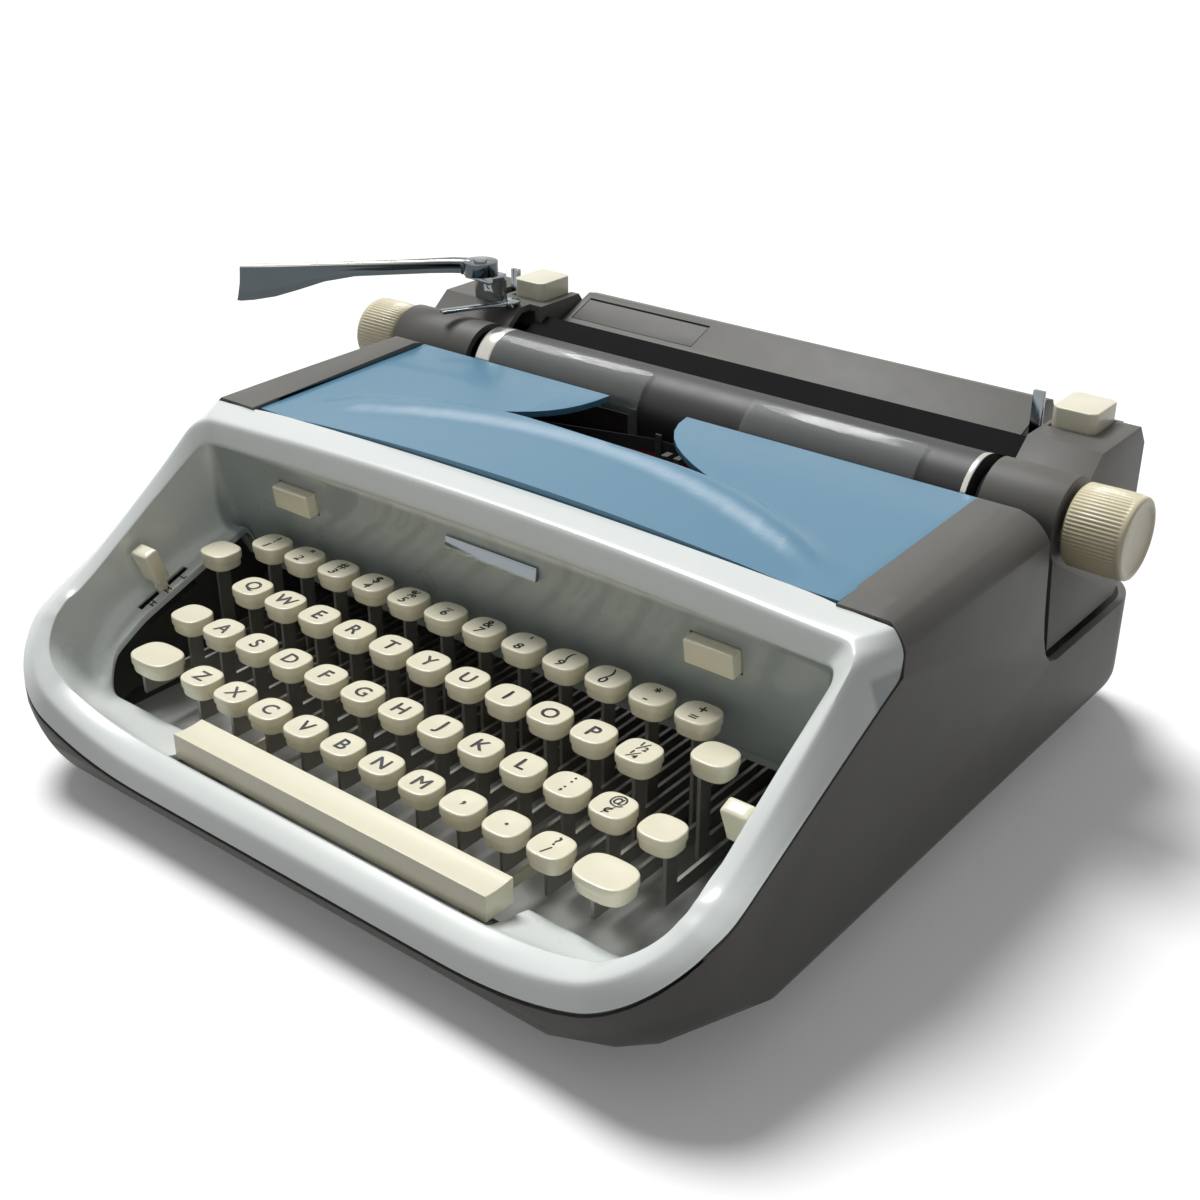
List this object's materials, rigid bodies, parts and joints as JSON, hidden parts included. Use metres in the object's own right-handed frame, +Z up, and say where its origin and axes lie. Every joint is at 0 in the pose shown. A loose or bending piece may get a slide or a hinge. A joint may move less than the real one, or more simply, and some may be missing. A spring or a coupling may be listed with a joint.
{
  "type": "portable typewriter",
  "caption": "Portable manual typewriter with a sloping keyboard in a pale frame, a hinged blue cover over the type basket and a sliding carriage with platen, knobs and return lever.",
  "frame": {"origin": "middle of the underside of the front left foot, at table level", "axes": "+X to the typist's right, +Y to the back, +Z up"},
  "size_m": [0.4297, 0.326, 0.1486],
  "materials": {
    "case_grey": "dark warm grey satin paint",
    "pan_grey": "matt grey paint",
    "bezel_white": "glossy off-white",
    "cover_blue": "light blue satin paint",
    "key_cream": "glossy cream",
    "steel": "plain steel",
    "chrome": "bright plated",
    "black_rubber": "matt black rubber",
    "dark_plastic": "fine-grained dark grey",
    "clear_plastic": "clear",
    "ribbon_cloth": "inked cloth"
  },
  "bodies": {
    "root": {"base_pan": "pan_grey", "rubber_feet": "black_rubber", "body_shell": "case_grey", "front_bezel": "bezel_white", "cover_hinge_pins": "steel", "keyboard_tray": "pan_grey", "side_frames": "steel", "cross_members": "steel", "fulcrum_rod": "steel", "ribbon": "ribbon_cloth", "spool_cups": "steel", "card_holders": "clear_plastic", "carriage_rail": "steel"},
    "number_row": {"number_row_tops": "key_cream", "number_row_levers": "steel"},
    "upper_row": {"upper_row_tops": "key_cream", "upper_row_levers": "steel"},
    "home_row": {"home_row_tops": "key_cream", "home_row_levers": "steel"},
    "lower_row": {"lower_row_tops": "key_cream", "lower_row_levers": "steel"},
    "center_key": {"center_key": "key_cream"},
    "shift_key_left": {"shift_key_left": "key_cream"},
    "shift_key_right": {"shift_key_right": "key_cream"},
    "shift_lock_key": {"shift_lock_key": "key_cream"},
    "back_space_key": {"back_space_key": "key_cream"},
    "tab_key": {"tab_key": "key_cream"},
    "margin_release_key": {"margin_release_key": "key_cream"},
    "space_bar": {"space_bar": "key_cream"},
    "type_basket": {"segment": "steel", "typebars": "steel", "type_guide": "steel"},
    "center_typebar": {"center_typebar": "steel"},
    "ribbon_vibrator": {"ribbon_vibrator": "steel"},
    "ribbon_spool_left": {"ribbon_spool_left": "steel"},
    "ribbon_spool_right": {"ribbon_spool_right": "steel"},
    "touch_control": {"touch_control": "key_cream"},
    "ribbon_selector": {"ribbon_selector": "key_cream"},
    "tab_set_button": {"tab_set_button": "key_cream"},
    "tab_clear_button": {"tab_clear_button": "key_cream"},
    "top_cover": {"top_cover": "cover_blue"},
    "carriage": {"carriage_frame": "steel", "end_cap_left": "dark_plastic", "end_cap_right": "dark_plastic", "rear_cover": "dark_plastic", "lever_bracket": "chrome", "paper_apron": "steel"},
    "platen": {"platen": "black_rubber", "platen_shaft": "steel", "platen_knob_left": "key_cream", "platen_knob_right": "key_cream"},
    "feed_roller": {"feed_roller": "black_rubber"},
    "return_lever": {"return_lever": "chrome"},
    "paper_release_lever": {"paper_release_lever": "chrome"},
    "carriage_release": {"carriage_release": "chrome"},
    "margin_button_left": {"margin_button_left": "key_cream"},
    "margin_button_right": {"margin_button_right": "key_cream"},
    "paper_support": {"paper_support": "dark_plastic"},
    "spring_drum": {"spring_drum": "steel"}
  },
  "joints": [
    {"name": "number_row_press", "type": "hinge", "parent": "root", "child": "number_row", "pos_m": [0.113, 0.175, 0.034], "axis": [1, 0, 0], "range_deg": [0, 5], "stiffness_Nm_per_rad": 2, "springref_deg": -5.73},
    {"name": "upper_row_press", "type": "hinge", "parent": "root", "child": "upper_row", "pos_m": [0.113, 0.175, 0.034], "axis": [1, 0, 0], "range_deg": [0, 4.4], "stiffness_Nm_per_rad": 2, "springref_deg": -5.73},
    {"name": "home_row_press", "type": "hinge", "parent": "root", "child": "home_row", "pos_m": [0.113, 0.175, 0.034], "axis": [1, 0, 0], "range_deg": [0, 3.9], "stiffness_Nm_per_rad": 2, "springref_deg": -5.73},
    {"name": "lower_row_press", "type": "hinge", "parent": "root", "child": "lower_row", "pos_m": [0.113, 0.175, 0.034], "axis": [1, 0, 0], "range_deg": [0, 3.5], "stiffness_Nm_per_rad": 2, "springref_deg": -5.73},
    {"name": "center_key_press", "type": "hinge", "parent": "root", "child": "center_key", "pos_m": [0.113, 0.175, 0.034], "axis": [1, 0, 0], "range_deg": [0, 3.9], "stiffness_Nm_per_rad": 0.3, "springref_deg": -5.73},
    {"name": "shift_left_press", "type": "hinge", "parent": "root", "child": "shift_key_left", "pos_m": [0.113, 0.175, 0.034], "axis": [1, 0, 0], "range_deg": [0, 3.2], "stiffness_Nm_per_rad": 0.5, "springref_deg": -5.73},
    {"name": "shift_right_press", "type": "hinge", "parent": "root", "child": "shift_key_right", "pos_m": [0.113, 0.175, 0.034], "axis": [1, 0, 0], "range_deg": [0, 3.2], "stiffness_Nm_per_rad": 0.5, "springref_deg": -5.73},
    {"name": "shift_lock_press", "type": "hinge", "parent": "root", "child": "shift_lock_key", "pos_m": [0.113, 0.175, 0.034], "axis": [1, 0, 0], "range_deg": [0, 3.9], "stiffness_Nm_per_rad": 0.3, "springref_deg": -5.73},
    {"name": "back_space_press", "type": "hinge", "parent": "root", "child": "back_space_key", "pos_m": [0.113, 0.175, 0.034], "axis": [1, 0, 0], "range_deg": [0, 4.6], "stiffness_Nm_per_rad": 0.3, "springref_deg": -5.73},
    {"name": "tab_press", "type": "hinge", "parent": "root", "child": "tab_key", "pos_m": [0.113, 0.175, 0.034], "axis": [1, 0, 0], "range_deg": [0, 4.6], "stiffness_Nm_per_rad": 0.3, "springref_deg": -5.73},
    {"name": "margin_release_press", "type": "hinge", "parent": "root", "child": "margin_release_key", "pos_m": [0.113, 0.175, 0.034], "axis": [1, 0, 0], "range_deg": [0, 3.9], "stiffness_Nm_per_rad": 0.3, "springref_deg": -5.73},
    {"name": "space_bar_press", "type": "hinge", "parent": "root", "child": "space_bar", "pos_m": [0.113, 0.175, 0.034], "axis": [1, 0, 0], "range_deg": [0, 2.2], "stiffness_Nm_per_rad": 1, "springref_deg": -8.59},
    {"name": "basket_shift", "type": "slide", "parent": "root", "child": "type_basket", "axis": [0, 0, -1], "range_m": [0, 0.0065], "stiffness_N_per_m": 400, "springref_m": -0.012},
    {"name": "center_typebar_swing", "type": "hinge", "parent": "type_basket", "child": "center_typebar", "pos_m": [0.113, 0.1315, 0.057], "axis": [-1, 0, 0], "range_deg": [0, 108.5]},
    {"name": "vibrator_lift", "type": "slide", "parent": "root", "child": "ribbon_vibrator", "axis": [0, 0, 1], "range_m": [0, 0.009]},
    {"name": "spool_left_turn", "type": "hinge", "parent": "root", "child": "ribbon_spool_left", "pos_m": [0.015, 0.124, 0.096], "axis": [0, 0, 1], "continuous": true},
    {"name": "spool_right_turn", "type": "hinge", "parent": "root", "child": "ribbon_spool_right", "pos_m": [0.211, 0.124, 0.096], "axis": [0, 0, 1], "continuous": true},
    {"name": "touch_control_slide", "type": "slide", "parent": "root", "child": "touch_control", "axis": [0, 0.9403, 0.3404], "range_m": [-0.008, 0.008]},
    {"name": "ribbon_selector_slide", "type": "slide", "parent": "root", "child": "ribbon_selector", "axis": [0, 0.9403, 0.3404], "range_m": [-0.008, 0.008]},
    {"name": "tab_set_push", "type": "slide", "parent": "root", "child": "tab_set_button", "axis": [0, 0.9896, 0.1439], "range_m": [0, 0.0035], "stiffness_N_per_m": 300, "springref_m": -0.003},
    {"name": "tab_clear_push", "type": "slide", "parent": "root", "child": "tab_clear_button", "axis": [0, 0.9896, 0.1439], "range_m": [0, 0.0035], "stiffness_N_per_m": 300, "springref_m": -0.003},
    {"name": "cover_lift", "type": "hinge", "parent": "root", "child": "top_cover", "pos_m": [0.113, 0.154, 0.113], "axis": [-1, 0, 0], "range_deg": [0, 85]},
    {"name": "carriage_travel", "type": "slide", "parent": "root", "child": "carriage", "axis": [-1, 0, 0], "range_m": [-0.12, 0.11]},
    {"name": "platen_turn", "type": "hinge", "parent": "carriage", "child": "platen", "pos_m": [0.117, 0.1845, 0.1085], "axis": [1, 0, 0], "continuous": true},
    {"name": "feed_roller_turn", "type": "hinge", "parent": "carriage", "child": "feed_roller", "pos_m": [0.117, 0.187, 0.08684], "axis": [1, 0, 0], "continuous": true},
    {"name": "return_lever_swing", "type": "hinge", "parent": "carriage", "child": "return_lever", "pos_m": [-0.028, 0.201, 0.144], "axis": [0, 0, 1], "range_deg": [0, 40], "stiffness_Nm_per_rad": 0.3, "springref_deg": -5.73},
    {"name": "paper_release_turn", "type": "hinge", "parent": "carriage", "child": "paper_release_lever", "pos_m": [-0.014, 0.206, 0.129], "axis": [0, 0, 1], "range_deg": [0, 20]},
    {"name": "carriage_release_tilt", "type": "hinge", "parent": "carriage", "child": "carriage_release", "pos_m": [0.113, 0.229, 0.1], "axis": [1, 0, 0], "range_deg": [0, 12], "stiffness_Nm_per_rad": 0.1, "springref_deg": -11.46},
    {"name": "margin_left_push", "type": "slide", "parent": "carriage", "child": "margin_button_left", "axis": [0, 0, -1], "range_m": [0, 0.004], "stiffness_N_per_m": 400, "springref_m": -0.003},
    {"name": "margin_right_push", "type": "slide", "parent": "carriage", "child": "margin_button_right", "axis": [0, 0, -1], "range_m": [0, 0.004], "stiffness_N_per_m": 400, "springref_m": -0.003},
    {"name": "paper_support_lift", "type": "hinge", "parent": "carriage", "child": "paper_support", "pos_m": [0.0375, 0.24172, 0.12493], "axis": [-1, 0, 0], "range_deg": [0, 110]},
    {"name": "spring_drum_turn", "type": "hinge", "parent": "root", "child": "spring_drum", "pos_m": [0.013, 0.247, 0.032], "axis": [0, 1, 0], "range_deg": [-450, 450]}
  ],
  "couplings": [
    {"joint": "shift_right_press", "follows": "shift_left_press", "ratio": 1},
    {"joint": "basket_shift", "follows": "shift_left_press", "m_per_rad": 0.1163},
    {"joint": "center_typebar_swing", "follows": "center_key_press", "ratio": 27.69},
    {"joint": "vibrator_lift", "follows": "center_key_press", "m_per_rad": 0.132},
    {"joint": "spool_right_turn", "follows": "spool_left_turn", "ratio": 1},
    {"joint": "feed_roller_turn", "follows": "platen_turn", "ratio": -3.3},
    {"joint": "spring_drum_turn", "follows": "carriage_travel", "rad_per_m": 62.5}
  ]
}
